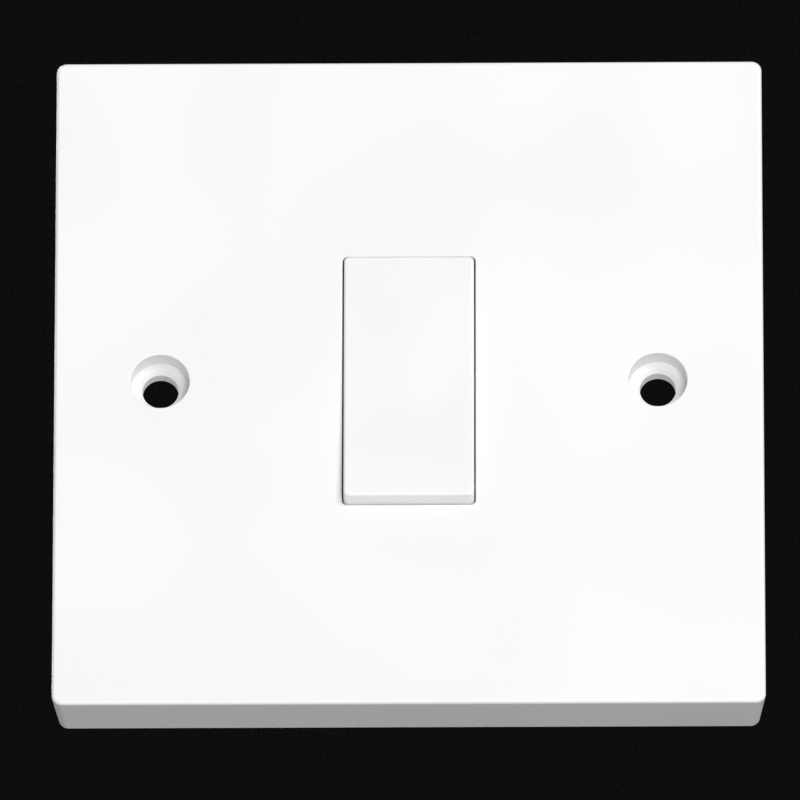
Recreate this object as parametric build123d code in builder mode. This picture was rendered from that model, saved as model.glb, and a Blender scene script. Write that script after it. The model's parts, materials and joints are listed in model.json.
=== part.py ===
"""One-gang intermediate light switch: plate, rocker, crossover contacts, terminals and base.

X runs to the right, Y into the wall and Z up. The origin is the middle of the wall plane, where the
plate's back rim rests. Levels named *_AT are measured forwards from that plane, out of the wall.
"""

import os
from math import acos, atan2, cos, degrees, hypot, radians, sin, sqrt, tan

from build123d import *

# Front plate: a square moulding, hollow at the back, drawn in a little towards the wall
PLATE_SIZE = 86.0
PLATE_DEPTH = 8.5
PLATE_SKIN = 2.2
PLATE_RIM = 2.0
PLATE_TAPER = 0.7
PLATE_CORNER = 1.2
PLATE_EDGE = 0.4
OPENING_EDGE = 0.15
RIB_THICKNESS = 1.2
RIB_HEIGHT = 2.0
RIB_SPACING = 24.0

# Fixing holes to the wall box
FIXING_SPACING = 60.3
FIXING_HOLE = 4.4
FIXING_MOUTH = 5.3
FIXING_MOUTH_ANGLE = 90.0
FIXING_RECESS = 7.1
FIXING_RECESS_DEPTH = 2.6
FIXING_LEDGE = 1.5
FIXING_WALL = 1.6

# Rocker, with its width taken at the skirt and its length across the face
ROCKER_WIDTH = 15.9
ROCKER_LENGTH = 32.4
ROCKER_DRAFT = 1.0
ROCKER_CORNER = 0.6
ROCKER_EDGE = 0.3
ROCKER_PROUD = 0.8
ROCKER_DISH = 0.25
ROCKER_THROW = 4.0
ROCKER_SKIRT = 1.0
ROCKER_WALL = 1.5
ROCKER_FACE = 1.2
TRUNNION_DIAMETER = 2.8
TRUNNION_LENGTH = 2.2
SHOULDER_HEIGHT = 0.08

# Plungers, the tubes that guide them and the springs behind them
PLUNGER_DIAMETER = 3.3
PLUNGER_REACH = 7.5
PLUNGER_LENGTH = 7.0
SPIGOT_DIAMETER = 1.6
SPIGOT_LENGTH = 1.2
TUBE_WALL = 0.8
TUBE_REACH = 3.2
SPRING_WIRE = 0.4
SPRING_TURNS = 5

# See-saw contact blades, their tips and the fulcrums under them
POLE_SPACING = 10.0
CONTACT_ARM = 9.0
CONTACT_TILT = 9.5
BLADE_WIDTH = 4.4
BLADE_THICKNESS = 0.9
BLADE_REAR = 0.1
BLADE_OVERHANG = 1.6
TIP_DIAMETER = 2.6
TIP_HEIGHT = 0.9
TIP_DOME = 2.5
TIP_SHANK = 1.4
TIP_UPSET = 0.3
TIP_CHAMFER = 0.2
FULCRUM_THICKNESS = 1.0
FULCRUM_WIDTH = 3.2
FULCRUM_FOOT = 2.4
FULCRUM_LEG = 2.2

# Crossover strips
STRIP_THICKNESS = 0.8
LINK_WIDTH = 3.0
PAD_SIZE = 3.8
CROSSING_DROP = 1.8
CROSSING_MARGIN = 0.8

# Terminals and their clamp screws
TERMINAL_WIDTH = 7.4
TERMINAL_HEIGHT = 9.0
TERMINAL_DEPTH = 8.0
TERMINAL_WALL = 1.0
TERMINAL_CHAMFER = 0.4
WIRE_BORE = 3.6
WIRE_FUNNEL = 15.0
CLAMP_SCREW = 3.3
CLAMP_HEAD = 5.6
CLAMP_HEAD_HEIGHT = 1.5
CLAMP_TRAVEL = 2.8
CLAMP_POINT = 0.4
SLOT_WIDTH = 0.9
SLOT_DEPTH = 0.8

# Moulded base, and the screws and pillars that hold it to the plate
BASE_WALL = 1.6
BASE_CHEEK = 3.0
BASE_CORNER = 1.5
BARRIER_THICKNESS = 1.0
BARRIER_HEIGHT = 6.0
EAR_WIDTH = 7.6
EAR_THICKNESS = 2.4
PILLAR_DIAMETER = 5.6
PILLAR_HEIGHT = 3.2
BASE_SCREW = 3.0
BASE_SCREW_HEAD = 5.6
BASE_SCREW_HEAD_HEIGHT = 1.8
HEAD_CHAMFER = 0.6
POST_DIAMETER = 4.0

# Clearances
ROCKER_GAP = 0.12
END_GAP = 0.12
SIDE_PLAY = 0.1
BAY_CLEARANCE = 0.6
PIVOT_CLEARANCE = 0.1
SLIDE_CLEARANCE = 0.1
CONTACT_CLEARANCE = 0.08
PART_CLEARANCE = 0.15
THREAD_CLEARANCE = 0.05
SCREW_CLEARANCE = 0.2
CHAMBER_CLEARANCE = 1.2

# Levels through the switch, from the plate's front back to the base's rear
SKIN_BACK_AT = PLATE_DEPTH - PLATE_SKIN
TRUNNION_RADIUS = TRUNNION_DIAMETER / 2
PIVOT_AT = SKIN_BACK_AT - TRUNNION_RADIUS - PIVOT_CLEARANCE
LEAN = radians(ROCKER_THROW / 2)
TILT = radians(CONTACT_TILT)
BLADE_FRONT = BLADE_REAR + BLADE_THICKNESS
FULCRUM_AT = PIVOT_AT - PLUNGER_REACH - CONTACT_CLEARANCE - BLADE_FRONT
DOME_CENTRE = BLADE_REAR - TIP_HEIGHT + TIP_DOME
CLOSED_AT = FULCRUM_AT - CONTACT_ARM * sin(TILT) + DOME_CENTRE * cos(TILT) - TIP_DOME
STRIP_FRONT_AT = CLOSED_AT - CONTACT_CLEARANCE - TIP_HEIGHT
FLOOR_AT = STRIP_FRONT_AT - STRIP_THICKNESS
BASE_BACK_AT = FLOOR_AT - SLIDE_CLEARANCE - CLAMP_TRAVEL - CLAMP_HEAD_HEIGHT
TERMINAL_FRONT_AT = STRIP_FRONT_AT + TERMINAL_DEPTH
WIRE_AT = TERMINAL_FRONT_AT - TERMINAL_WALL - WIRE_BORE / 2
EAR_FRONT_AT = SKIN_BACK_AT - PILLAR_HEIGHT
EAR_BACK_AT = EAR_FRONT_AT - EAR_THICKNESS

# Rocker heights, along its own face normal from the pivot, and the swing of its ends round the pivot
FACE_MIDDLE = PLATE_DEPTH - PIVOT_AT + ROCKER_PROUD
FACE_END = FACE_MIDDLE + ROCKER_DISH
FACE_BACK = FACE_MIDDLE - ROCKER_FACE
HALF_FACE = ROCKER_LENGTH / 2
ROCKER_SWING = hypot(HALF_FACE, FACE_END)
SKIRT_HALF = sqrt(ROCKER_SWING**2 - ROCKER_SKIRT**2)
DISH_RADIUS = (HALF_FACE**2 + ROCKER_DISH**2) / (2 * ROCKER_DISH)
PLUNGER_BACK = PLUNGER_LENGTH - PLUNGER_REACH
TUBE_BORE = PLUNGER_DIAMETER + 2 * SLIDE_CLEARANCE
SPRING_RADIUS = (PLUNGER_DIAMETER - SPRING_WIRE) / 2 - SLIDE_CLEARANCE

# Aperture and bay, opened just clear of the rocker's swing
APERTURE_WIDTH = ROCKER_WIDTH + 2 * ROCKER_GAP
APERTURE_FRONT = 2 * (sqrt(ROCKER_SWING**2 - (PLATE_DEPTH - PIVOT_AT) ** 2) + END_GAP)
APERTURE_BACK = 2 * (sqrt(ROCKER_SWING**2 - (SKIN_BACK_AT - PIVOT_AT) ** 2) + END_GAP)
BAY_WIDTH = ROCKER_WIDTH + 2 * (SHOULDER_HEIGHT + SIDE_PLAY)
BAY_HEIGHT = 2 * (ROCKER_SWING + END_GAP)
SKIRT_AT = PIVOT_AT + ROCKER_SKIRT * cos(LEAN) - SKIRT_HALF * sin(LEAN)
BAY_FLOOR_AT = SKIRT_AT - BAY_CLEARANCE
FLANGE_BACK_AT = BAY_FLOOR_AT - BASE_WALL

# Plan of the base and of the plate round it
FLANGE_HEIGHT = BAY_HEIGHT + 2 * BASE_WALL
CHAMBER_HEIGHT = 2 * (CONTACT_ARM + BLADE_OVERHANG + CHAMBER_CLEARANCE)
POCKET_WIDTH = TERMINAL_WIDTH + 2 * PART_CLEARANCE
POCKET_HEIGHT = TERMINAL_HEIGHT + 2 * PART_CLEARANCE
TERMINAL_X = BAY_WIDTH / 2 + BASE_CHEEK + POCKET_WIDTH / 2
TERMINAL_Z = CONTACT_ARM
POCKET_END = TERMINAL_Z + POCKET_HEIGHT / 2
TOWER_WIDTH = POCKET_WIDTH + 2 * BASE_WALL
TOWER_HEIGHT = 2 * (POCKET_END + BASE_WALL)
BASE_WIDTH = 2 * TERMINAL_X + TOWER_WIDTH
PILLAR_Z = FLANGE_HEIGHT / 2 + PART_CLEARANCE + PILLAR_DIAMETER / 2
FRAME_WIDTH = BASE_WIDTH + 2 * PART_CLEARANCE
FRAME_HEIGHT = FLANGE_HEIGHT + 2 * PART_CLEARANCE
RIM_OUTSIDE = PLATE_SIZE - 2 * PLATE_TAPER
RIM_INSIDE = RIM_OUTSIDE - 2 * PLATE_RIM
FIXING_BOSS = FIXING_RECESS + 2 * FIXING_WALL
FIXING_SEAT_AT = PLATE_DEPTH - FIXING_RECESS_DEPTH
FIXING_MOUTH_DEPTH = (FIXING_MOUTH - FIXING_HOLE) / 2 / tan(radians(FIXING_MOUTH_ANGLE / 2))
FIXING_BACK_AT = FIXING_SEAT_AT - FIXING_MOUTH_DEPTH - FIXING_LEDGE

# Plan of the contacts
POLE_X = POLE_SPACING / 2
PAD_Z = CONTACT_ARM * cos(TILT) + DOME_CENTRE * sin(TILT)
LINK_Z = -PAD_Z / 2
TAIL_TOP = LINK_Z + LINK_WIDTH / 2
LEG_X = BAY_WIDTH / 2 - SCREW_CLEARANCE - FULCRUM_LEG / 2
DIAGONAL_ANGLE = degrees(atan2(PAD_Z, POLE_X))
DIAGONAL_LENGTH = 2 * hypot(PAD_Z, POLE_X)
CROSSING_ANGLE = radians(180 - 2 * DIAGONAL_ANGLE)
CROSSING_HALF = (
    LINK_WIDTH / 2 * (1 + cos(CROSSING_ANGLE)) / sin(CROSSING_ANGLE) + CROSSING_MARGIN
)
RAMP_END = CROSSING_HALF + CROSSING_DROP
BARRIER_START = (BARRIER_THICKNESS / 2 + LINK_WIDTH) * PAD_Z / POLE_X

# Sides and corners that pieces repeat on
SIDES = {"left": -1, "right": 1}
CORNERS = {
    "upper_left": (-TERMINAL_X, TERMINAL_Z),
    "upper_right": (TERMINAL_X, TERMINAL_Z),
    "lower_left": (-TERMINAL_X, -TERMINAL_Z),
    "lower_right": (TERMINAL_X, -TERMINAL_Z),
}

# Side views: square to the wall, along the rear strip, and leaning as the rocker does at rest
WALL_SIDE = Plane(origin=(0, 0, 0), x_dir=(0, 0, 1), z_dir=(1, 0, 0))
DIAGONAL_SIDE = Plane(origin=(0, 0, 0), x_dir=(POLE_X, 0, PAD_Z), z_dir=(PAD_Z, 0, -POLE_X))
ROCKER_PLANE = Plane(origin=(0, -PIVOT_AT, 0), x_dir=(1, 0, 0), z_dir=(0, -cos(LEAN), sin(LEAN)))
ROCKER_SIDE = Plane(ROCKER_PLANE.origin, x_dir=ROCKER_PLANE.y_dir, z_dir=(1, 0, 0))

os.makedirs("parts", exist_ok=True)


# Front plate: a drafted square shell with the rocker's aperture and two fixing holes
with BuildPart() as front_plate:
    with BuildSketch(Plane.XZ):
        RectangleRounded(RIM_OUTSIDE, RIM_OUTSIDE, PLATE_CORNER)
    with BuildSketch(Plane.XZ.offset(PLATE_DEPTH)):
        RectangleRounded(PLATE_SIZE, PLATE_SIZE, PLATE_CORNER)
    loft()
    fillet(front_plate.faces().sort_by(Axis.Y)[0].edges(), PLATE_EDGE)
    with BuildSketch(Plane.XZ):
        RectangleRounded(RIM_INSIDE, RIM_INSIDE, PLATE_CORNER)
    extrude(amount=SKIN_BACK_AT, mode=Mode.SUBTRACT)

    # Ribs from the rim to the frame that locates the base
    side_rib = (RIM_INSIDE - FRAME_WIDTH) / 2
    end_rib = (RIM_INSIDE - FRAME_HEIGHT) / 2
    with BuildSketch(Plane.XZ.offset(SKIN_BACK_AT)):
        with GridLocations(FRAME_WIDTH + side_rib, 0, 2, 1):
            Rectangle(side_rib, RIB_THICKNESS)
        with GridLocations(RIB_SPACING, FRAME_HEIGHT + end_rib, 2, 2):
            Rectangle(RIB_THICKNESS, end_rib)
        Rectangle(FRAME_WIDTH + 2 * RIB_THICKNESS, FRAME_HEIGHT + 2 * RIB_THICKNESS)
        Rectangle(FRAME_WIDTH, FRAME_HEIGHT, mode=Mode.SUBTRACT)
    extrude(amount=-RIB_HEIGHT)

    # Bosses round the fixing holes, pillars for the base screws, posts that hold the terminals down
    with BuildSketch(Plane.XZ.offset(SKIN_BACK_AT)):
        with GridLocations(FIXING_SPACING, 0, 2, 1):
            Circle(FIXING_BOSS / 2)
    extrude(amount=FIXING_BACK_AT - SKIN_BACK_AT)
    with BuildSketch(Plane.XZ.offset(SKIN_BACK_AT)):
        with GridLocations(0, 2 * PILLAR_Z, 1, 2):
            Circle(PILLAR_DIAMETER / 2)
    extrude(amount=-PILLAR_HEIGHT)
    with BuildSketch(Plane.XZ.offset(SKIN_BACK_AT)):
        with GridLocations(2 * TERMINAL_X, 2 * TERMINAL_Z, 2, 2):
            Circle(POST_DIAMETER / 2)
    extrude(amount=TERMINAL_FRONT_AT + CONTACT_CLEARANCE - SKIN_BACK_AT)
    with BuildSketch(Plane.XZ.offset(EAR_FRONT_AT)):
        with GridLocations(0, 2 * PILLAR_Z, 1, 2):
            Circle(BASE_SCREW / 2 + THREAD_CLEARANCE)
    extrude(amount=PILLAR_HEIGHT, mode=Mode.SUBTRACT)

    # The aperture, wider behind, and the recessed fixing holes with their countersunk mouths
    with BuildSketch(Plane.XZ.offset(PLATE_DEPTH)):
        RectangleRounded(APERTURE_WIDTH, APERTURE_FRONT, ROCKER_CORNER)
    with BuildSketch(Plane.XZ.offset(SKIN_BACK_AT)):
        RectangleRounded(APERTURE_WIDTH, APERTURE_BACK, ROCKER_CORNER)
    loft(mode=Mode.SUBTRACT)
    with Locations(Plane.XZ.offset(PLATE_DEPTH)):
        with GridLocations(FIXING_SPACING, 0, 2, 1):
            CounterBoreHole(
                FIXING_HOLE / 2,
                FIXING_RECESS / 2,
                counter_bore_depth=FIXING_RECESS_DEPTH,
                depth=PLATE_DEPTH - FIXING_BACK_AT,
            )
    with Locations(Plane.XZ.offset(FIXING_SEAT_AT)):
        with GridLocations(FIXING_SPACING, 0, 2, 1):
            CounterSinkHole(
                FIXING_HOLE / 2,
                FIXING_MOUTH / 2,
                depth=FIXING_SEAT_AT - FIXING_BACK_AT,
                counter_sink_angle=FIXING_MOUTH_ANGLE,
            )
    front_face = front_plate.faces().sort_by(Axis.Y)[0]
    fillet([edge for wire in front_face.inner_wires() for edge in wire.edges()], OPENING_EDGE)
front_plate.part.label = "front_plate"
export_step(front_plate.part, "parts/front_plate.step")


# Rocker: a drafted cap hung on two side trunnions, with ends that are round about the trunnions,
# so that their gaps stay the same as it rocks, and a dished face, hollow behind
with BuildPart() as rocker:
    with BuildSketch(ROCKER_PLANE.offset(ROCKER_SKIRT)):
        Rectangle(ROCKER_WIDTH, 2 * (ROCKER_SWING + ROCKER_WALL))
    extrude(amount=FACE_END - ROCKER_SKIRT, taper=ROCKER_DRAFT)
    with BuildSketch(ROCKER_SIDE):
        Circle(ROCKER_SWING)
    extrude(amount=ROCKER_WIDTH, both=True, mode=Mode.INTERSECT)
    end_faces = rocker.faces().filter_by(GeomType.CYLINDER)
    fillet(end_faces.edges().filter_by(GeomType.LINE, reverse=True), ROCKER_CORNER)
    with BuildSketch(ROCKER_SIDE):
        with Locations((0, FACE_MIDDLE + DISH_RADIUS)):
            Circle(DISH_RADIUS)
    extrude(amount=ROCKER_WIDTH, both=True, mode=Mode.SUBTRACT)
    face_axis = Axis(ROCKER_PLANE.origin, ROCKER_PLANE.z_dir)
    fillet(rocker.faces().sort_by(face_axis)[-1].edges(), ROCKER_EDGE)
    with BuildSketch(ROCKER_PLANE.offset(ROCKER_SKIRT)):
        Rectangle(ROCKER_WIDTH - 2 * ROCKER_WALL, ROCKER_LENGTH - 2 * ROCKER_WALL)
    extrude(amount=FACE_BACK - ROCKER_SKIRT, mode=Mode.SUBTRACT)

    # A stiffening rib down the hollow
    with BuildSketch(ROCKER_PLANE.offset(FACE_BACK)):
        Rectangle(RIB_THICKNESS, ROCKER_LENGTH - 2 * ROCKER_WALL)
    extrude(amount=-(FACE_BACK - ROCKER_SKIRT) / 2)

    # Side ears, each with a thrust shoulder and a trunnion
    for side in SIDES.values():
        with BuildSketch(ROCKER_SIDE.offset(side * (ROCKER_WIDTH / 2 - ROCKER_WALL))):
            Circle(TRUNNION_DIAMETER)
            with Locations((0, ROCKER_SKIRT / 2)):
                Rectangle(2 * TRUNNION_DIAMETER, ROCKER_SKIRT)
        extrude(amount=side * ROCKER_WALL)
        with BuildSketch(ROCKER_SIDE.offset(side * ROCKER_WIDTH / 2)):
            Circle(TRUNNION_RADIUS + SHOULDER_HEIGHT)
        extrude(amount=side * SHOULDER_HEIGHT)
        with BuildSketch(ROCKER_SIDE.offset(side * ROCKER_WIDTH / 2)):
            Circle(TRUNNION_RADIUS)
        extrude(amount=side * TRUNNION_LENGTH)

    # Tubes that guide the plungers
    with BuildSketch(ROCKER_PLANE.offset(FACE_BACK)):
        with GridLocations(POLE_SPACING, 0, 2, 1):
            Circle(TUBE_BORE / 2 + TUBE_WALL)
    extrude(amount=-(FACE_BACK + TUBE_REACH))
    with BuildSketch(ROCKER_PLANE.offset(FACE_BACK)):
        with GridLocations(POLE_SPACING, 0, 2, 1):
            Circle(TUBE_BORE / 2)
    extrude(amount=-(FACE_BACK + TUBE_REACH), mode=Mode.SUBTRACT)
rocker.part.label = "rocker"
export_step(rocker.part, "parts/rocker.step")


# Plungers: round-nosed pins, each with a spigot that centres its spring
for name, side in SIDES.items():
    pin_centre = ROCKER_PLANE.from_local_coords((side * POLE_X, 0, 0))
    pin_plane = Plane(pin_centre, x_dir=(1, 0, 0), z_dir=-ROCKER_PLANE.y_dir)
    pin_radius = PLUNGER_DIAMETER / 2
    spigot_end = PLUNGER_BACK + SPIGOT_LENGTH
    with BuildPart() as plunger:
        with BuildSketch(pin_plane):
            with BuildLine():
                CenterArc((0, pin_radius - PLUNGER_REACH), pin_radius, 270, 90)
                Polyline(
                    (pin_radius, pin_radius - PLUNGER_REACH),
                    (pin_radius, PLUNGER_BACK),
                    (SPIGOT_DIAMETER / 2, PLUNGER_BACK),
                    (SPIGOT_DIAMETER / 2, spigot_end),
                    (0, spigot_end),
                    (0, -PLUNGER_REACH),
                )
            make_face()
        revolve(axis=Axis(pin_centre, ROCKER_PLANE.z_dir))
    plunger.part.label = f"plunger_{name}"
    export_step(plunger.part, f"parts/plunger_{name}.step")


# Plunger springs: coils between the plunger's shoulder and the back of the rocker's face
for name, side in SIDES.items():
    coil_start = PLUNGER_BACK + SPRING_WIRE / 2 + THREAD_CLEARANCE
    coil_height = FACE_BACK - SPRING_WIRE / 2 - THREAD_CLEARANCE - coil_start
    with BuildPart() as plunger_spring:
        with BuildLine() as coil:
            Helix(
                pitch=coil_height / SPRING_TURNS,
                height=coil_height,
                radius=SPRING_RADIUS,
                center=ROCKER_PLANE.from_local_coords((side * POLE_X, 0, coil_start)),
                direction=ROCKER_PLANE.z_dir,
            )
        with BuildSketch(Plane(origin=coil.line @ 0, z_dir=coil.line % 0)):
            Circle(SPRING_WIRE / 2)
        sweep(path=coil.line, is_frenet=True)
    plunger_spring.part.label = f"plunger_spring_{name}"
    export_step(plunger_spring.part, f"parts/plunger_spring_{name}.step")


# Moving contacts: blades that see-saw on a round groove, lower end closed at rest
for name, side in SIDES.items():
    blade_plane = Plane(
        origin=(side * POLE_X, -FULCRUM_AT, 0),
        x_dir=(1, 0, 0),
        z_dir=(0, -cos(TILT), -sin(TILT)),
    )
    blade_side = Plane(blade_plane.origin, x_dir=blade_plane.y_dir, z_dir=(1, 0, 0))
    with BuildPart() as moving_contact:
        with BuildSketch(blade_plane.offset(BLADE_REAR)):
            RectangleRounded(BLADE_WIDTH, 2 * (CONTACT_ARM + BLADE_OVERHANG), BLADE_OVERHANG)
            with GridLocations(0, 2 * CONTACT_ARM, 1, 2):
                Circle(TIP_SHANK / 2 + THREAD_CLEARANCE, mode=Mode.SUBTRACT)
        extrude(amount=BLADE_THICKNESS)
        with BuildSketch(blade_side):
            Circle(FULCRUM_THICKNESS / 2 + CONTACT_CLEARANCE)
        extrude(amount=BLADE_WIDTH, both=True, mode=Mode.SUBTRACT)
    moving_contact.part.label = f"moving_contact_{name}"
    export_step(moving_contact.part, f"parts/moving_contact_{name}.step")

    # Domed rivets, one at each end of the blade
    tip_radius = TIP_DIAMETER / 2
    dome_edge = DOME_CENTRE - sqrt(TIP_DOME**2 - tip_radius**2)
    dome_sweep = degrees(acos((DOME_CENTRE - dome_edge) / TIP_DOME))
    with BuildPart() as moving_tips:
        for end in (CONTACT_ARM, -CONTACT_ARM):
            tip_centre = blade_plane.from_local_coords((0, end, 0))
            with BuildSketch(Plane(tip_centre, x_dir=(1, 0, 0), z_dir=-blade_plane.y_dir)):
                with BuildLine():
                    CenterArc((0, DOME_CENTRE), TIP_DOME, 270, dome_sweep)
                    Polyline(
                        (tip_radius, dome_edge),
                        (tip_radius, BLADE_REAR),
                        (TIP_SHANK / 2, BLADE_REAR),
                        (TIP_SHANK / 2, BLADE_FRONT),
                        (TIP_SHANK / 2 + TIP_UPSET, BLADE_FRONT),
                        (TIP_SHANK / 2, BLADE_FRONT + TIP_UPSET),
                        (0, BLADE_FRONT + TIP_UPSET),
                        (0, BLADE_REAR - TIP_HEIGHT),
                    )
                make_face()
            revolve(axis=Axis(tip_centre, blade_plane.z_dir))
    moving_tips.part.label = f"moving_tips_{name}"
    export_step(moving_tips.part, f"parts/moving_tips_{name}.step")


# Fulcrums: folded strips with an upright, round-topped blade rest, led out to the lower terminals
for name, side in SIDES.items():
    foot_start = POLE_X - FULCRUM_WIDTH / 2
    leg_end = LEG_X + FULCRUM_LEG / 2
    leg_start = LEG_X - FULCRUM_LEG / 2
    tail_height = TAIL_TOP + TERMINAL_Z + TERMINAL_HEIGHT / 2
    with BuildPart() as fulcrum:
        with BuildSketch(Plane.XZ.offset(FLOOR_AT)):
            with Locations((side * (foot_start + leg_end) / 2, 0)):
                Rectangle(leg_end - foot_start, FULCRUM_FOOT)
            with Locations((side * LEG_X, (FULCRUM_FOOT / 2 + LINK_Z - LINK_WIDTH / 2) / 2)):
                Rectangle(FULCRUM_LEG, FULCRUM_FOOT / 2 - LINK_Z + LINK_WIDTH / 2)
            with Locations((side * (leg_start + TERMINAL_X) / 2, LINK_Z)):
                Rectangle(TERMINAL_X - leg_start, LINK_WIDTH)
            with Locations((side * TERMINAL_X, TAIL_TOP - tail_height / 2)):
                Rectangle(TERMINAL_WIDTH, tail_height)
            with Locations((side * TERMINAL_X, -TERMINAL_Z)):
                Circle(CLAMP_SCREW / 2 + SCREW_CLEARANCE, mode=Mode.SUBTRACT)
        extrude(amount=STRIP_THICKNESS)
        with BuildSketch(WALL_SIDE.offset(side * POLE_X)):
            with Locations((0, (FULCRUM_AT + FLOOR_AT) / 2)):
                Rectangle(FULCRUM_THICKNESS, FULCRUM_AT - FLOOR_AT)
            with Locations((0, FULCRUM_AT)):
                Circle(FULCRUM_THICKNESS / 2)
        extrude(amount=FULCRUM_WIDTH / 2, both=True)
    fulcrum.part.label = f"fulcrum_{name}"
    export_step(fulcrum.part, f"parts/fulcrum_{name}.step")


# Front crossover strip: flat, from the upper left contact to the lower right one
with BuildPart() as cross_strip_front:
    with BuildSketch(Plane.XZ.offset(FLOOR_AT)):
        with Locations((-POLE_X, PAD_Z), (POLE_X, -PAD_Z)):
            Rectangle(PAD_SIZE, PAD_SIZE)
        with Locations(Location((0, 0), -DIAGONAL_ANGLE)):
            Rectangle(DIAGONAL_LENGTH, LINK_WIDTH)
        with Locations((-(POLE_X + TERMINAL_X) / 2, PAD_Z)):
            Rectangle(TERMINAL_X - POLE_X, LINK_WIDTH)
        with Locations((-TERMINAL_X, TERMINAL_Z)):
            Rectangle(TERMINAL_WIDTH, TERMINAL_HEIGHT)
            Circle(CLAMP_SCREW / 2 + SCREW_CLEARANCE, mode=Mode.SUBTRACT)
        with Locations((-POLE_X, PAD_Z), (POLE_X, -PAD_Z)):
            Circle(TIP_SHANK / 2 + THREAD_CLEARANCE, mode=Mode.SUBTRACT)
    extrude(amount=STRIP_THICKNESS)
cross_strip_front.part.label = "cross_strip_front"
export_step(cross_strip_front.part, "parts/cross_strip_front.step")


# Rear crossover strip: joggled back so that it passes behind the front one
with BuildPart() as cross_strip_rear:
    with BuildSketch(DIAGONAL_SIDE):
        with BuildLine():
            front_run = [
                (-DIAGONAL_LENGTH / 2, STRIP_FRONT_AT),
                (-RAMP_END, STRIP_FRONT_AT),
                (-CROSSING_HALF, STRIP_FRONT_AT - CROSSING_DROP),
                (CROSSING_HALF, STRIP_FRONT_AT - CROSSING_DROP),
                (RAMP_END, STRIP_FRONT_AT),
                (DIAGONAL_LENGTH / 2, STRIP_FRONT_AT),
            ]
            back_run = [(run, level - STRIP_THICKNESS) for run, level in reversed(front_run)]
            Polyline(*front_run, *back_run, close=True)
        make_face()
    extrude(amount=LINK_WIDTH / 2, both=True)
    with BuildSketch(Plane.XZ.offset(FLOOR_AT)):
        with Locations((POLE_X, PAD_Z), (-POLE_X, -PAD_Z)):
            Rectangle(PAD_SIZE, PAD_SIZE)
        with Locations(((POLE_X + TERMINAL_X) / 2, PAD_Z)):
            Rectangle(TERMINAL_X - POLE_X, LINK_WIDTH)
        with Locations((TERMINAL_X, TERMINAL_Z)):
            Rectangle(TERMINAL_WIDTH, TERMINAL_HEIGHT)
    extrude(amount=STRIP_THICKNESS)
    with BuildSketch(Plane.XZ.offset(FLOOR_AT)):
        with Locations((TERMINAL_X, TERMINAL_Z)):
            Circle(CLAMP_SCREW / 2 + SCREW_CLEARANCE)
        with Locations((POLE_X, PAD_Z), (-POLE_X, -PAD_Z)):
            Circle(TIP_SHANK / 2 + THREAD_CLEARANCE)
    extrude(amount=STRIP_THICKNESS, mode=Mode.SUBTRACT)
cross_strip_rear.part.label = "cross_strip_rear"
export_step(cross_strip_rear.part, "parts/cross_strip_rear.step")


# Fixed contact tips: flat-headed rivets in the pads of each strip
for name, side in (("front", -1), ("rear", 1)):
    with BuildPart() as fixed_tips:
        with BuildSketch(Plane.XZ.offset(STRIP_FRONT_AT)):
            with Locations((side * POLE_X, PAD_Z), (-side * POLE_X, -PAD_Z)):
                Circle(TIP_DIAMETER / 2)
        extrude(amount=TIP_HEIGHT)
        chamfer(fixed_tips.faces().group_by(Axis.Y)[0].edges(), TIP_CHAMFER)
        with BuildSketch(Plane.XZ.offset(FLOOR_AT)):
            with Locations((side * POLE_X, PAD_Z), (-side * POLE_X, -PAD_Z)):
                Circle(TIP_SHANK / 2)
        extrude(amount=STRIP_THICKNESS)
    fixed_tips.part.label = f"fixed_tips_{name}_strip"
    export_step(fixed_tips.part, f"parts/fixed_tips_{name}_strip.step")


# Insulating card that keeps the two strips apart where they cross
with BuildPart() as cross_insulator:
    with BuildSketch(Plane.XZ.offset(FLOOR_AT)):
        with Locations(Location((0, 0), DIAGONAL_ANGLE)):
            Rectangle(2 * CROSSING_HALF, LINK_WIDTH + PART_CLEARANCE)
    extrude(amount=STRIP_THICKNESS - CROSSING_DROP)
cross_insulator.part.label = "cross_insulator"
export_step(cross_insulator.part, "parts/cross_insulator.step")


# Terminals: drilled blocks that sit on the strips' tails
for name, (x, z) in CORNERS.items():
    with BuildPart() as terminal:
        with BuildSketch(Plane.XZ.offset(STRIP_FRONT_AT)):
            with Locations((x, z)):
                Rectangle(TERMINAL_WIDTH, TERMINAL_HEIGHT)
        extrude(amount=TERMINAL_DEPTH)
        chamfer(terminal.edges().filter_by(Axis.Y), TERMINAL_CHAMFER)
        with BuildSketch(Plane.XY.offset(z)):
            with Locations((x, -WIRE_AT)):
                Circle(WIRE_BORE / 2)
        extrude(amount=TERMINAL_HEIGHT, both=True, mode=Mode.SUBTRACT)
        with BuildSketch(Plane.XZ.offset(STRIP_FRONT_AT)):
            with Locations((x, z)):
                Circle(CLAMP_SCREW / 2 + THREAD_CLEARANCE)
        extrude(amount=WIRE_AT - STRIP_FRONT_AT, mode=Mode.SUBTRACT)
    terminal.part.label = f"terminal_{name}"
    export_step(terminal.part, f"parts/terminal_{name}.step")


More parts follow.
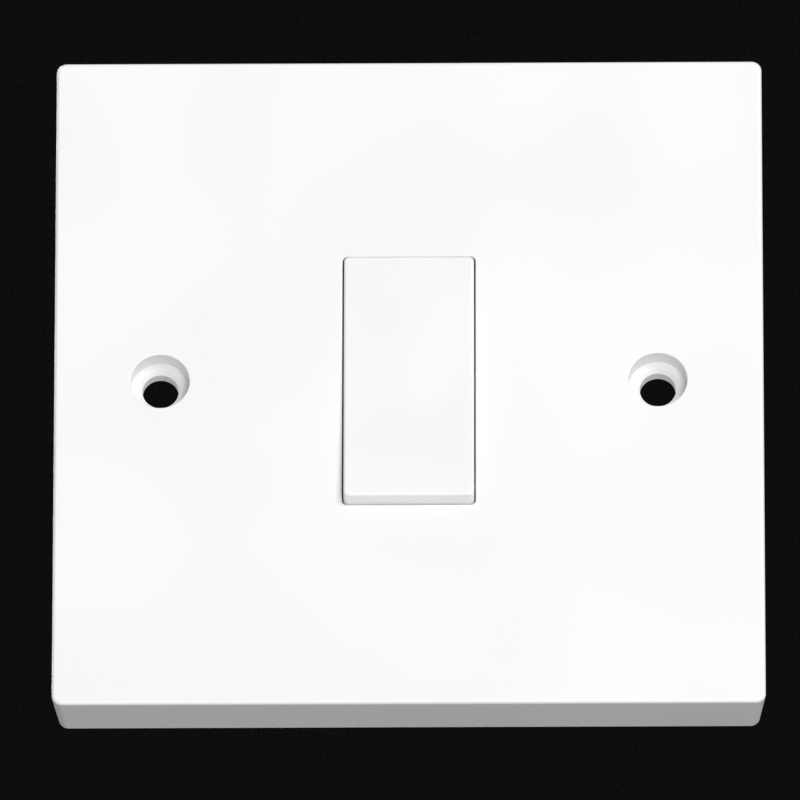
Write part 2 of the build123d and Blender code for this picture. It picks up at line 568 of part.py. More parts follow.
# Clamp screws: slotted, backed out clear of the wire holes, heads level with the base's rear
for name, (x, z) in CORNERS.items():
    head_front = BASE_BACK_AT + CLAMP_HEAD_HEIGHT
    screw_tip = WIRE_AT - WIRE_BORE / 2 - SLIDE_CLEARANCE
    with BuildPart() as terminal_screw:
        with BuildSketch(Plane.XZ.offset(BASE_BACK_AT)):
            with Locations((x, z)):
                Circle(CLAMP_HEAD / 2)
        extrude(amount=CLAMP_HEAD_HEIGHT)
        with BuildSketch(Plane.XZ.offset(head_front)):
            with Locations((x, z)):
                Circle(CLAMP_SCREW / 2)
        extrude(amount=screw_tip - head_front)
        chamfer(terminal_screw.faces().sort_by(Axis.Y)[0].edges(), CLAMP_POINT)
        with BuildSketch(Plane.XZ.offset(BASE_BACK_AT)):
            with Locations((x, z)):
                Rectangle(CLAMP_HEAD, SLOT_WIDTH)
        extrude(amount=SLOT_DEPTH, mode=Mode.SUBTRACT)
    terminal_screw.part.label = f"terminal_screw_{name}"
    export_step(terminal_screw.part, f"parts/terminal_screw_{name}.step")


# Moulded base: a flange behind the plate, the contact chamber and a tower of terminals on each side
with BuildPart() as switch_base:
    with BuildSketch(Plane.XZ.offset(SKIN_BACK_AT)):
        RectangleRounded(BASE_WIDTH, FLANGE_HEIGHT, BASE_CORNER)
    extrude(amount=FLANGE_BACK_AT - SKIN_BACK_AT)
    with BuildSketch(Plane.XZ.offset(SKIN_BACK_AT)):
        Rectangle(BAY_WIDTH + 2 * BASE_WALL, CHAMBER_HEIGHT + 2 * BASE_WALL)
        with GridLocations(2 * TERMINAL_X, 0, 2, 1):
            RectangleRounded(TOWER_WIDTH, TOWER_HEIGHT, BASE_CORNER)
    extrude(amount=BASE_BACK_AT - SKIN_BACK_AT)
    with BuildSketch(Plane.XZ.offset(EAR_FRONT_AT)):
        Rectangle(EAR_WIDTH, 2 * PILLAR_Z)
        with GridLocations(0, 2 * PILLAR_Z, 1, 2):
            Circle(EAR_WIDTH / 2)
            Circle(BASE_SCREW / 2 + SCREW_CLEARANCE, mode=Mode.SUBTRACT)
    extrude(amount=-EAR_THICKNESS)

    # The rocker's bay, the chamber, the terminal pockets and the slots that the strips run through
    with BuildSketch(Plane.XZ.offset(SKIN_BACK_AT)):
        RectangleRounded(BAY_WIDTH, BAY_HEIGHT, ROCKER_CORNER)
    extrude(amount=BAY_FLOOR_AT - SKIN_BACK_AT, mode=Mode.SUBTRACT)
    lower_height = POCKET_END + TAIL_TOP + PART_CLEARANCE
    with BuildSketch(Plane.XZ.offset(SKIN_BACK_AT)):
        Rectangle(BAY_WIDTH, CHAMBER_HEIGHT)
        with GridLocations(2 * TERMINAL_X, 0, 2, 1):
            with Locations((0, TERMINAL_Z)):
                Rectangle(POCKET_WIDTH, POCKET_HEIGHT)
            with Locations((0, lower_height / 2 - POCKET_END)):
                Rectangle(POCKET_WIDTH, lower_height)
        with Locations((0, PAD_Z), (0, LINK_Z)):
            Rectangle(2 * TERMINAL_X, LINK_WIDTH + 2 * PART_CLEARANCE)
    extrude(amount=FLOOR_AT - SKIN_BACK_AT, mode=Mode.SUBTRACT)

    # Open notches that the trunnions drop into
    notch_radius = TRUNNION_RADIUS + PIVOT_CLEARANCE
    with BuildSketch(WALL_SIDE):
        with Locations((0, PIVOT_AT)):
            Circle(notch_radius)
        with Locations((0, (PIVOT_AT + SKIN_BACK_AT) / 2)):
            Rectangle(2 * notch_radius, SKIN_BACK_AT - PIVOT_AT)
    notch_reach = ROCKER_WIDTH / 2 + TRUNNION_LENGTH + SCREW_CLEARANCE
    extrude(amount=notch_reach, both=True, mode=Mode.SUBTRACT)

    # Barriers between the poles, and the channel where the rear strip dips
    barrier_length = CHAMBER_HEIGHT / 2 - BARRIER_START
    with BuildSketch(Plane.XZ.offset(FLOOR_AT)):
        with GridLocations(0, CHAMBER_HEIGHT - barrier_length, 1, 2):
            Rectangle(BARRIER_THICKNESS, barrier_length)
    extrude(amount=BARRIER_HEIGHT)
    with BuildSketch(Plane.XZ.offset(FLOOR_AT)):
        with Locations(Location((0, 0), DIAGONAL_ANGLE)):
            Rectangle(2 * (RAMP_END + STRIP_THICKNESS), LINK_WIDTH + 2 * PART_CLEARANCE)
    extrude(amount=-CROSSING_DROP, mode=Mode.SUBTRACT)

    # Holes for the clamp screws, and hollows between the towers' pockets
    core_height = TERMINAL_Z - POCKET_HEIGHT / 2 - TAIL_TOP - PART_CLEARANCE - 2 * BASE_WALL
    core_z = (TERMINAL_Z - POCKET_HEIGHT / 2 + TAIL_TOP + PART_CLEARANCE) / 2
    with BuildSketch(Plane.XZ.offset(BASE_BACK_AT)):
        with GridLocations(2 * TERMINAL_X, 2 * TERMINAL_Z, 2, 2):
            Circle(CLAMP_HEAD / 2 + SCREW_CLEARANCE)
    extrude(amount=FLOOR_AT - BASE_BACK_AT, mode=Mode.SUBTRACT)
    with BuildSketch(Plane.XZ.offset(BASE_BACK_AT)):
        with GridLocations(2 * TERMINAL_X, 0, 2, 1):
            with Locations((0, core_z)):
                Rectangle(POCKET_WIDTH, core_height)
    extrude(amount=FLANGE_BACK_AT - BASE_BACK_AT, mode=Mode.SUBTRACT)

    # Funnelled wire entries through the ends of the towers
    for end in (1, -1):
        funnel = WIRE_BORE / 2 + SCREW_CLEARANCE + BASE_WALL * tan(radians(WIRE_FUNNEL))
        with BuildSketch(Plane.XY.offset(end * TOWER_HEIGHT / 2)):
            with Locations((-TERMINAL_X, -WIRE_AT), (TERMINAL_X, -WIRE_AT)):
                Circle(funnel)
        extrude(amount=-end * BASE_WALL, taper=WIRE_FUNNEL, mode=Mode.SUBTRACT)
switch_base.part.label = "switch_base"
export_step(switch_base.part, "parts/switch_base.step")


# Base screws: pan heads behind the base's ears, driven into the plate's pillars
with BuildPart() as base_screws:
    with BuildSketch(Plane.XZ.offset(EAR_BACK_AT)):
        with GridLocations(0, 2 * PILLAR_Z, 1, 2):
            Circle(BASE_SCREW_HEAD / 2)
    extrude(amount=-BASE_SCREW_HEAD_HEIGHT)
    chamfer(base_screws.faces().group_by(Axis.Y)[-1].edges(), HEAD_CHAMFER)
    with BuildSketch(Plane.XZ.offset(EAR_BACK_AT)):
        with GridLocations(0, 2 * PILLAR_Z, 1, 2):
            Circle(BASE_SCREW / 2)
    extrude(amount=EAR_THICKNESS + PILLAR_HEIGHT - SCREW_CLEARANCE)
    with BuildSketch(Plane.XZ.offset(EAR_BACK_AT - BASE_SCREW_HEAD_HEIGHT)):
        with GridLocations(0, 2 * PILLAR_Z, 1, 2):
            Rectangle(BASE_SCREW, SLOT_WIDTH)
            Rectangle(SLOT_WIDTH, BASE_SCREW)
    extrude(amount=SLOT_DEPTH, mode=Mode.SUBTRACT)
base_screws.part.label = "base_screws"
export_step(base_screws.part, "parts/base_screws.step")
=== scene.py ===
import json
from math import ceil, cos, radians, sin

import bmesh
import bpy
from mathutils import Matrix, Vector


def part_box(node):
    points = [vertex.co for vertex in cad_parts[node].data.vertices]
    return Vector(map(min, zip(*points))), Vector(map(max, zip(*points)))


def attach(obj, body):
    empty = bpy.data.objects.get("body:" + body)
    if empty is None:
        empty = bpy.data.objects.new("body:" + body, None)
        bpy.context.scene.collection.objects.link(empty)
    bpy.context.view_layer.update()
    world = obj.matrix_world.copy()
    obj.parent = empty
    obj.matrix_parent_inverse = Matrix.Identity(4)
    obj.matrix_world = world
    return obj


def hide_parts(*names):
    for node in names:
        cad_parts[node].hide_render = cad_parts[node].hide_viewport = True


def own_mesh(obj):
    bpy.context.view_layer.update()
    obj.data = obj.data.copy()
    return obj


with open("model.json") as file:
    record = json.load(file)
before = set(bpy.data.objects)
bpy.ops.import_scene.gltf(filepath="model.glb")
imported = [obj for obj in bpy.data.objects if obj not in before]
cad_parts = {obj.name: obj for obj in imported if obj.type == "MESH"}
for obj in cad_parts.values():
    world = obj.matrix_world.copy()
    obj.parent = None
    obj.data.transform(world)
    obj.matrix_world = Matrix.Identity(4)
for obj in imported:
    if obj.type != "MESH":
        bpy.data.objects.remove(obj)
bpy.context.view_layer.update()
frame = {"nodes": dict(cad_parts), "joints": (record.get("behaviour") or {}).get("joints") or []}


# Switch base: a pale grey thermoset moulding that carries the contacts, the terminals and their
# wire entries. It is pressed hot in a steel tool, which leaves a fine matt grain, faint flow marks
# and slightly soft edges.
MM = 0.001
RESIN_DARK = (0.535, 0.535, 0.51)
RESIN_LIGHT = (0.565, 0.565, 0.54)


class Finish:
    """A procedural material on Object coordinates, put together from a few recipes."""

    EDGE_SAMPLES = 4
    # A Mix node's colour sockets share their names with others, so they go by number.
    MIX_UNDER = 6
    MIX_OVER = 7
    MIX_COLOUR = 2

    def __init__(self, name, metallic=0.0):
        self.material = bpy.data.materials.new(name)
        self.material.use_nodes = True
        self.tree = self.material.node_tree
        self.shader = self.tree.nodes["Principled BSDF"]
        self.shader.inputs["Metallic"].default_value = metallic
        self.where = self.tree.nodes.new("ShaderNodeTexCoord").outputs["Object"]

    def feed(self, value, socket):
        """Leads a node's value to one of the shader's sockets."""
        self.tree.links.new(value, self.shader.inputs[socket])

    def noise(self, size, stretch=(1, 1, 1), detail=2):
        """Clouds from 0 to 1, about size across and drawn out along each axis by its stretch."""
        mapping = self.tree.nodes.new("ShaderNodeMapping")
        mapping.inputs["Scale"].default_value = [1 / (size * share) for share in stretch]
        cloud = self.tree.nodes.new("ShaderNodeTexNoise")
        cloud.inputs["Scale"].default_value = 1.0
        cloud.inputs["Detail"].default_value = detail
        self.tree.links.new(self.where, mapping.inputs["Vector"])
        self.tree.links.new(mapping.outputs["Vector"], cloud.inputs["Vector"])
        return cloud.outputs["Fac"]

    def span(self, value, low, high, start=0.3, end=0.7):
        """Low where the value is at start or under, high at end or over, and smooth between."""
        ranged = self.tree.nodes.new("ShaderNodeMapRange")
        ranged.interpolation_type = "SMOOTHSTEP"
        ranged.inputs["From Min"].default_value = start
        ranged.inputs["From Max"].default_value = end
        ranged.inputs["To Min"].default_value = low
        ranged.inputs["To Max"].default_value = high
        self.tree.links.new(value, ranged.inputs["Value"])
        return ranged.outputs["Result"]

    def shades(self, cloud, dark, light, start=0.35, end=0.65):
        """Two colours that run into each other with the clouds."""
        ramp = self.tree.nodes.new("ShaderNodeValToRGB")
        ramp.color_ramp.interpolation = "EASE"
        for stop, place, colour in zip(ramp.color_ramp.elements, (start, end), (dark, light)):
            stop.position = place
            stop.color = (*colour, 1)
        self.tree.links.new(cloud, ramp.inputs["Fac"])
        return ramp.outputs["Color"]

    def over(self, share, under, colour):
        """One colour laid over another by a share from 0 to 1."""
        blend = self.tree.nodes.new("ShaderNodeMix")
        blend.data_type = "RGBA"
        self.tree.links.new(share, blend.inputs["Factor"])
        self.tree.links.new(under, blend.inputs[self.MIX_UNDER])
        blend.inputs[self.MIX_OVER].default_value = (*colour, 1)
        return blend.outputs[self.MIX_COLOUR]

    def rounded(self, radius):
        """Normals that turn over a sharp edge within the radius."""
        bevel = self.tree.nodes.new("ShaderNodeBevel")
        bevel.samples = self.EDGE_SAMPLES
        bevel.inputs["Radius"].default_value = radius
        return bevel.outputs["Normal"]

    def edges(self, width):
        """1 on a sharp edge, falling to 0 within the width."""
        surface_normal = self.tree.nodes.new("ShaderNodeNewGeometry").outputs["Normal"]
        likeness = self.tree.nodes.new("ShaderNodeVectorMath")
        likeness.operation = "DOT_PRODUCT"
        self.tree.links.new(self.rounded(width), likeness.inputs[0])
        self.tree.links.new(surface_normal, likeness.inputs[1])
        return self.span(likeness.outputs["Value"], low=1.0, high=0.0, start=0.8, end=1.0)

    def relief(self, height, depth, edge):
        """Bumps of the given depth on normals that are rounded over the edges."""
        bump = self.tree.nodes.new("ShaderNodeBump")
        bump.inputs["Distance"].default_value = depth
        self.tree.links.new(height, bump.inputs["Height"])
        self.tree.links.new(self.rounded(edge), bump.inputs["Normal"])
        self.feed(bump.outputs["Normal"], "Normal")

    def dress(self, *names):
        """Gives the finish to CAD nodes."""
        for name in names:
            for slot in frame["nodes"][name].material_slots:
                slot.material = self.material


resin = Finish("moulded_resin")
resin_flow = resin.noise(size=7 * MM, stretch=(1, 1, 2), detail=3)
resin_grain = resin.noise(size=0.22 * MM, detail=4)
resin.feed(resin.shades(resin_flow, RESIN_DARK, RESIN_LIGHT), "Base Color")
resin.feed(resin.span(resin_grain, low=0.40, high=0.58), "Roughness")
resin.relief(resin_grain, depth=0.006 * MM, edge=0.15 * MM)
resin.dress("switch_base")


# Terminal marks: raised letters on the base's flange beside each wire entry, cut into the tool, so
# they come out with the moulding in the same resin.
MARKS = {"upper_left": "L1", "upper_right": "L2", "lower_left": "L3", "lower_right": "L4"}
MARK_HEIGHT = 2.2 * MM
MARK_RELIEF = 0.25 * MM
MARK_CENTRE = 17.0 * MM
FLANGE_BACK = -3.01 * MM
CAPITAL_SHARE = 0.7
LETTER_EDGE_PARTS = 6
MERGE = 0.001 * MM


def raised_letters(name, words, height, relief, place):
    """Letters that read from behind, standing out of a face that looks into the wall."""
    bpy.ops.object.select_all(action="DESELECT")
    bpy.ops.object.text_add()
    letters = bpy.context.object
    letters.name = name
    letters.data.body = words
    letters.data.size = height / CAPITAL_SHARE
    letters.data.extrude = relief / 2
    letters.data.bevel_depth = relief / LETTER_EDGE_PARTS
    letters.data.align_x = "CENTER"
    letters.data.align_y = "CENTER"
    bpy.ops.object.convert(target="MESH")
    letters.location = place
    letters.rotation_euler = (radians(90), 0, radians(180))
    bpy.ops.object.transform_apply()
    bpy.ops.object.mode_set(mode="EDIT")
    bpy.ops.mesh.select_all(action="SELECT")
    bpy.ops.mesh.remove_doubles(threshold=MERGE)
    bpy.ops.mesh.normals_make_consistent(inside=False)
    bpy.ops.object.mode_set(mode="OBJECT")
    return letters


for corner, words in MARKS.items():
    low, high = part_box(f"terminal_{corner}")
    upwards = 1 if low.z > 0 else -1
    place = ((low.x + high.x) / 2, FLANGE_BACK, upwards * MARK_CENTRE)
    mark = raised_letters(f"terminal_mark_{corner}", words, MARK_HEIGHT, MARK_RELIEF, place)
    mark.data.materials.append(resin.material)
    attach(mark, "housing")


# Crossover strips and fulcrums: half-hard brass sheet, blanked and folded in a press. The rolling
# leaves fine lines along the sheet, the air a slight brown tarnish, and the tool bright edges.
STRIP_TARNISHED = (0.50, 0.31, 0.11)
STRIP_CLEAN = (0.72, 0.48, 0.19)
STRIP_EDGE = (0.86, 0.64, 0.32)

strip = Finish("rolled_brass", metallic=1.0)
strip_lines = strip.noise(size=0.08 * MM, stretch=(40, 1, 1), detail=3)
strip_tarnish = strip.noise(size=3.5 * MM, detail=4)
strip_colour = strip.shades(strip_tarnish, STRIP_TARNISHED, STRIP_CLEAN)
strip.feed(strip.over(strip.edges(width=0.12 * MM), strip_colour, STRIP_EDGE), "Base Color")
strip.feed(strip.span(strip_lines, low=0.28, high=0.40, start=0.2, end=0.8), "Roughness")
strip.relief(strip_lines, depth=0.0012 * MM, edge=0.06 * MM)
strip.dress("cross_strip_front", "cross_strip_rear", "fulcrum_left", "fulcrum_right")


# Cross insulator: a card of red vulcanised fibre laid between the strips where they cross. It is
# pressed from cotton rag, so it shows short fibres that lie along it and across it.
CARD_DARK = (0.17, 0.045, 0.028)
CARD_LIGHT = (0.27, 0.085, 0.05)

card = Finish("vulcanised_fibre")
card_across = card.noise(size=0.10 * MM, stretch=(8, 1, 1), detail=3)
card_along = card.noise(size=0.10 * MM, stretch=(1, 1, 8), detail=3)
card.feed(card.shades(card_along, CARD_DARK, CARD_LIGHT), "Base Color")
card.feed(card.span(card_across, low=0.55, high=0.8), "Roughness")
card.relief(card_across, depth=0.012 * MM, edge=0.05 * MM)
card.dress("cross_insulator")


# Contact tips: silver alloy rivets, coined to a dome or a flat and headed over in the brass. New
# ones are bright, with a fine pitting from the die.
SILVER_DARK = (0.66, 0.64, 0.60)
SILVER_LIGHT = (0.84, 0.83, 0.80)

silver = Finish("coined_silver", metallic=1.0)
silver_pits = silver.noise(size=0.09 * MM, detail=3)
silver_cloud = silver.noise(size=0.7 * MM)
silver.feed(silver.shades(silver_cloud, SILVER_DARK, SILVER_LIGHT), "Base Color")
silver.feed(silver.span(silver_pits, low=0.19, high=0.265), "Roughness")
silver.relief(silver_pits, depth=0.003 * MM, edge=0.08 * MM)
silver.dress("fixed_tips_front_strip", "fixed_tips_rear_strip")
silver.dress("moving_tips_left", "moving_tips_right")


# Moving contacts: see-saw blades of spring brass, blanked along the roll, so that its fine lines
# run down their length. They are tumbled smooth, which brightens their edges.
BLADE_TARNISHED = (0.56, 0.36, 0.14)
BLADE_CLEAN = (0.74, 0.50, 0.21)
BLADE_EDGE = (0.86, 0.65, 0.34)

blade = Finish("tumbled_brass", metallic=1.0)
blade_lines = blade.noise(size=0.15 * MM, stretch=(1, 1, 20), detail=3)
blade_tarnish = blade.noise(size=2.5 * MM, detail=4)
blade_colour = blade.shades(blade_tarnish, BLADE_TARNISHED, BLADE_CLEAN)
blade.feed(blade.over(blade.edges(width=0.1 * MM), blade_colour, BLADE_EDGE), "Base Color")
blade.feed(blade.span(blade_lines, low=0.20, high=0.265), "Roughness")
blade.relief(blade_lines, depth=0.003 * MM, edge=0.1 * MM)
blade.dress("moving_contact_left", "moving_contact_right")


# Terminals: blocks sawn from extruded brass bar and drilled for the wire and its screw. The saw
# leaves fine lines, and the tumbling barrel breaks the edges.
BAR_TARNISHED = (0.60, 0.40, 0.16)
BAR_CLEAN = (0.78, 0.55, 0.24)
BAR_EDGE = (0.90, 0.70, 0.38)

bar = Finish("sawn_brass", metallic=1.0)
bar_lines = bar.noise(size=0.08 * MM, stretch=(40, 1, 40), detail=3)
bar_tarnish = bar.noise(size=2.2 * MM, detail=3)
bar_colour = bar.shades(bar_tarnish, BAR_TARNISHED, BAR_CLEAN)
bar.feed(bar.over(bar.edges(width=0.15 * MM), bar_colour, BAR_EDGE), "Base Color")
bar.feed(bar.span(bar_lines, low=0.28, high=0.40, start=0.2, end=0.8), "Roughness")
bar.relief(bar_lines, depth=0.0015 * MM, edge=0.12 * MM)
bar.dress(*(f"terminal_{corner}" for corner in MARKS))


# Clamp screws: slotted cheese-head screws of zinc-plated steel, one behind each terminal. They are
# cold headed and their threads are rolled, and each slot stands where its last turn left it.
ZINC_DARK = (0.50, 0.52, 0.55)
ZINC_LIGHT = (0.66, 0.66, 0.63)
ZINC_EDGE = (0.78, 0.79, 0.80)
CLAMP_HEAD_HEIGHT = 1.5 * MM
CLAMP_RIM = 0.22 * MM
CLAMP_SLOT_WIDTH = 0.9 * MM
CLAMP_SLOT_DEPTH = 0.8 * MM
CLAMP_CREST = 1.65 * MM
CLAMP_ROOT = 1.30 * MM
CLAMP_PITCH = 0.6 * MM
CLAMP_POINT = 0.4 * MM
CLAMP_TURNS = {"upper_left": 24, "upper_right": -52, "lower_left": 71, "lower_right": -13}
THREAD_POINTS = 4
CREST_POINTS = (1, 2)
THREAD_STEPS = 32
TURNED_SIDES = 64
SLOT_DRAFT = 0.85
CUT_MARGIN = 0.02 * MM
SLIVER = 0.002 * MM
SMOOTH_ANGLE = radians(28)

zinc = Finish("zinc_plate", metallic=1.0)
zinc_spangle = zinc.noise(size=0.9 * MM, detail=3)
zinc_grain = zinc.noise(size=0.08 * MM, detail=3)
zinc_colour = zinc.shades(zinc_spangle, ZINC_DARK, ZINC_LIGHT)
zinc.feed(zinc.over(zinc.edges(width=0.08 * MM), zinc_colour, ZINC_EDGE), "Base Color")
zinc.feed(zinc.span(zinc_grain, low=0.28, high=0.44), "Roughness")
zinc.relief(zinc_grain, depth=0.003 * MM, edge=0.06 * MM)


def take(*pieces):
    """Selects just these pieces, with the first one active."""
    bpy.ops.object.select_all(action="DESELECT")
    for piece in pieces:
        piece.select_set(True)
    bpy.context.view_layer.objects.active = pieces[0]


def select_where(piece, mode, wanted):
    """In edit mode, selects just what lies wholly on vertices whose place is wanted."""
    bpy.ops.mesh.select_mode(type="VERT")
    bpy.ops.mesh.select_all(action="DESELECT")
    shape = bmesh.from_edit_mesh(piece.data)
    for vertex in shape.verts:
        vertex.select_set(wanted(vertex.co))
    shape.select_flush(True)
    bmesh.update_edit_mesh(piece.data)
    bpy.ops.mesh.select_mode(type=mode)


def combine(piece, tool, operation):
    """Joins a piece to a tool, or cuts or trims it with the tool, and takes the tool away."""
    take(piece)
    boolean = piece.modifiers.new("combine", "BOOLEAN")
    boolean.operation = operation
    boolean.object = tool
    bpy.ops.object.modifier_apply(modifier=boolean.name)
    bpy.data.objects.remove(tool)


def threaded_rod(root, crest, pitch, length):
    """A rod with one helical thread, from the origin up Z, with both ends cut flat and closed."""
    turns = ceil(length / pitch) + 2
    span = turns * pitch
    point = pitch / THREAD_POINTS
    bpy.ops.object.select_all(action="DESELECT")
    bpy.ops.mesh.primitive_plane_add(size=span, rotation=(radians(90), 0, 0))
    rod = bpy.context.object
    bpy.ops.object.transform_apply()
    bpy.ops.object.mode_set(mode="EDIT")
    select_where(rod, "VERT", lambda place: place.x < 0)
    bpy.ops.mesh.delete(type="VERT")
    bpy.ops.mesh.select_all(action="SELECT")
    bpy.ops.transform.translate(value=(root - span / 2, 0, span / 2 - pitch))
    bpy.ops.mesh.subdivide(number_cuts=THREAD_POINTS * turns - 1)
    select_where(rod, "VERT", lambda place: round(place.z / point) % THREAD_POINTS in CREST_POINTS)
    bpy.ops.transform.translate(value=(crest - root, 0, 0))
    bpy.ops.object.mode_set(mode="OBJECT")
    thread = rod.modifiers.new("thread", "SCREW")
    thread.screw_offset = pitch
    thread.steps = THREAD_STEPS
    thread.render_steps = THREAD_STEPS
    bpy.ops.object.modifier_apply(modifier=thread.name)
    bpy.ops.object.mode_set(mode="EDIT")
    bpy.ops.mesh.select_all(action="SELECT")
    bpy.ops.mesh.remove_doubles(threshold=MERGE)
    for height, outwards in ((0, -1), (length, 1)):
        bpy.ops.mesh.select_all(action="SELECT")
        bpy.ops.mesh.bisect(
            plane_co=(0, 0, height), plane_no=(0, 0, outwards), use_fill=True, clear_outer=True
        )
    bpy.ops.mesh.select_all(action="SELECT")
    bpy.ops.mesh.normals_make_consistent(inside=False)
    bpy.ops.object.mode_set(mode="OBJECT")
    return rod


def turned_blank(radius, start, end, edge_at, edge, segments):
    """A cylinder up Z from start to end, with the rim at edge_at turned off or rounded."""
    bpy.ops.object.select_all(action="DESELECT")
    bpy.ops.mesh.primitive_cylinder_add(
        vertices=TURNED_SIDES,
        radius=radius,
        depth=end - start,
        location=(0, 0, (start + end) / 2),
    )
    blank = bpy.context.object
    bpy.ops.object.transform_apply()
    bpy.ops.object.mode_set(mode="EDIT")
    select_where(blank, "EDGE", lambda place: abs(place.z - edge_at) < MERGE)
    bpy.ops.mesh.bevel(offset=edge, segments=segments)
    bpy.ops.object.mode_set(mode="OBJECT")
    return blank


def slot_cutter(length, width, depth):
    """A driver slot's block along X, drawn in a little towards its floor as a punch is."""
    bpy.ops.object.select_all(action="DESELECT")
    bpy.ops.mesh.primitive_cube_add(size=1, scale=(length, width, 2 * depth))
    cutter = bpy.context.object
    bpy.ops.object.transform_apply()
    bpy.ops.object.mode_set(mode="EDIT")
    select_where(cutter, "FACE", lambda place: place.z > 0)
    bpy.ops.transform.resize(value=(1, SLOT_DRAFT, 1))
    bpy.ops.object.mode_set(mode="OBJECT")
    return cutter


def mend(piece):
    """Merges the slivers that cuts leave and points all faces outwards."""
    take(piece)
    bpy.ops.object.mode_set(mode="EDIT")
    bpy.ops.mesh.select_all(action="SELECT")
    bpy.ops.mesh.remove_doubles(threshold=SLIVER)
    bpy.ops.mesh.dissolve_degenerate(threshold=MERGE)
    bpy.ops.mesh.normals_make_consistent(inside=False)
    bpy.ops.object.mode_set(mode="OBJECT")


def smooth(piece):
    """Shades the rounds smooth and keeps the sharp edges."""
    take(piece)
    bpy.ops.object.shade_smooth_by_angle(angle=SMOOTH_ANGLE)


def copy_to(pattern, name, placing):
    """A copy of a pattern with its own mesh, put in its place."""
    piece = bpy.data.objects.new(name, pattern.data.copy())
    bpy.context.scene.collection.objects.link(piece)
    piece.data.transform(placing)
    return piece


def driven_in(place, turn):
    """Stands a screw's head at a place, with its point towards the room, and turns its slot."""
    towards_room = Matrix.Rotation(radians(90), 4, "X")
    return Matrix.Translation(place) @ towards_room @ Matrix.Rotation(radians(turn), 4, "Z")


low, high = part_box("terminal_screw_upper_left")
clamp_length = high.y - low.y
clamp_head = (high.x - low.x) / 2
clamp_screw = threaded_rod(CLAMP_ROOT, CLAMP_CREST, CLAMP_PITCH, clamp_length + CLAMP_PITCH)
clamp_point = turned_blank(
    radius=CLAMP_CREST + CUT_MARGIN,
    start=CLAMP_HEAD_HEIGHT / 2,
    end=clamp_length,
    edge_at=clamp_length,
    edge=CLAMP_POINT,
    segments=1,
)
combine(clamp_screw, clamp_point, "INTERSECT")
clamp_top = turned_blank(
    radius=clamp_head, start=0, end=CLAMP_HEAD_HEIGHT, edge_at=0, edge=CLAMP_RIM, segments=4
)
combine(clamp_screw, clamp_top, "UNION")
clamp_slot = slot_cutter(
    length=3 * clamp_head, width=CLAMP_SLOT_WIDTH, depth=CLAMP_SLOT_DEPTH
)
combine(clamp_screw, clamp_slot, "DIFFERENCE")
mend(clamp_screw)
clamp_screw.data.materials.clear()
clamp_screw.data.materials.append(zinc.material)
smooth(clamp_screw)

for corner, turn in CLAMP_TURNS.items():
    low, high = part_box(f"terminal_screw_{corner}")
    place = ((low.x + high.x) / 2, high.y, (low.z + high.z) / 2)
    screw = copy_to(clamp_screw, f"clamp_screw_{corner}", driven_in(place, turn))
    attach(screw, f"screw_{corner}")
    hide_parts(f"terminal_screw_{corner}")
bpy.data.objects.remove(clamp_screw)


# Rocker: the white urea key that a finger presses. It is pressed in a polished tool, so its dished
# face is glossier than the plate, with faint dull patches from handling.
WHITE_DARK = (0.82, 0.82, 0.82)
WHITE_LIGHT = (0.84, 0.84, 0.84)

key = Finish("polished_urea")
key_ripple = key.noise(size=5 * MM, detail=0)
key_hands = key.noise(size=11 * MM, detail=0)
key.feed(key.shades(key_hands, WHITE_DARK, WHITE_LIGHT), "Base Color")
key.feed(key.span(key_hands, low=0.205, high=0.265, start=0.2, end=0.8), "Roughness")
key.relief(key_ripple, depth=0.0012 * MM, edge=0.1 * MM)
key.dress("rocker")


# Plungers: pins of natural nylon that slide in the rocker's tubes. Their round noses rub on the
# blades, so they are moulded smooth, and the nylon is milky.
NYLON_DARK = (0.68, 0.64, 0.53)
NYLON_LIGHT = (0.77, 0.73, 0.62)
NYLON_GLOW = 0.25
NYLON_GLOW_DEPTH = (0.9 * MM, 0.7 * MM, 0.5 * MM)

nylon = Finish("natural_nylon")
nylon_milk = nylon.noise(size=1.2 * MM, detail=3)
nylon_skin = nylon.noise(size=0.2 * MM, detail=3)
nylon.feed(nylon.shades(nylon_milk, NYLON_DARK, NYLON_LIGHT), "Base Color")
nylon.feed(nylon.span(nylon_skin, low=0.32, high=0.46), "Roughness")
nylon.relief(nylon_skin, depth=0.003 * MM, edge=0.08 * MM)
nylon.shader.inputs["Subsurface Weight"].default_value = NYLON_GLOW
nylon.shader.inputs["Subsurface Radius"].default_value = NYLON_GLOW_DEPTH
nylon.shader.inputs["Subsurface Scale"].default_value = 1.0
nylon.dress("plunger_left", "plunger_right")


# Plunger springs: coils of drawn spring steel behind the plungers, wound from bright wire. In the
# switch each one is pressed shorter as its plunger goes in; here each rides with the rocker at its
# free length.
WIRE_DARK = (0.34, 0.35, 0.37)
WIRE_LIGHT = (0.52, 0.53, 0.54)
WIRE_RADIUS = 0.2 * MM
WIRE_SIDES = 12
COIL_TURNS = 5
COIL_STEPS = 28

wire = Finish("drawn_wire", metallic=1.0)
wire_lines = wire.noise(size=0.06 * MM, stretch=(6, 1, 6))
wire.feed(wire.shades(wire_lines, WIRE_DARK, WIRE_LIGHT), "Base Color")
wire.feed(wire.span(wire_lines, low=0.28, high=0.40), "Roughness")
wire.relief(wire_lines, depth=0.002 * MM, edge=0.04 * MM)


def reach(name, axis):
    """The nearest and the furthest that a node comes along an axis."""
    along = [axis.dot(vertex.co) for vertex in frame["nodes"][name].data.vertices]
    return min(along), max(along)


press = next(joint for joint in frame["joints"] if joint["name"] == "plunger_left_slide")
press_axis = Vector(press["axis"])
low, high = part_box("plunger_spring_left")
coil_foot, coil_top = reach("plunger_spring_left", press_axis)
free_length = coil_top - coil_foot
coil_height = free_length - 2 * WIRE_RADIUS
coil_radius = (high.x - low.x) / 2 - WIRE_RADIUS

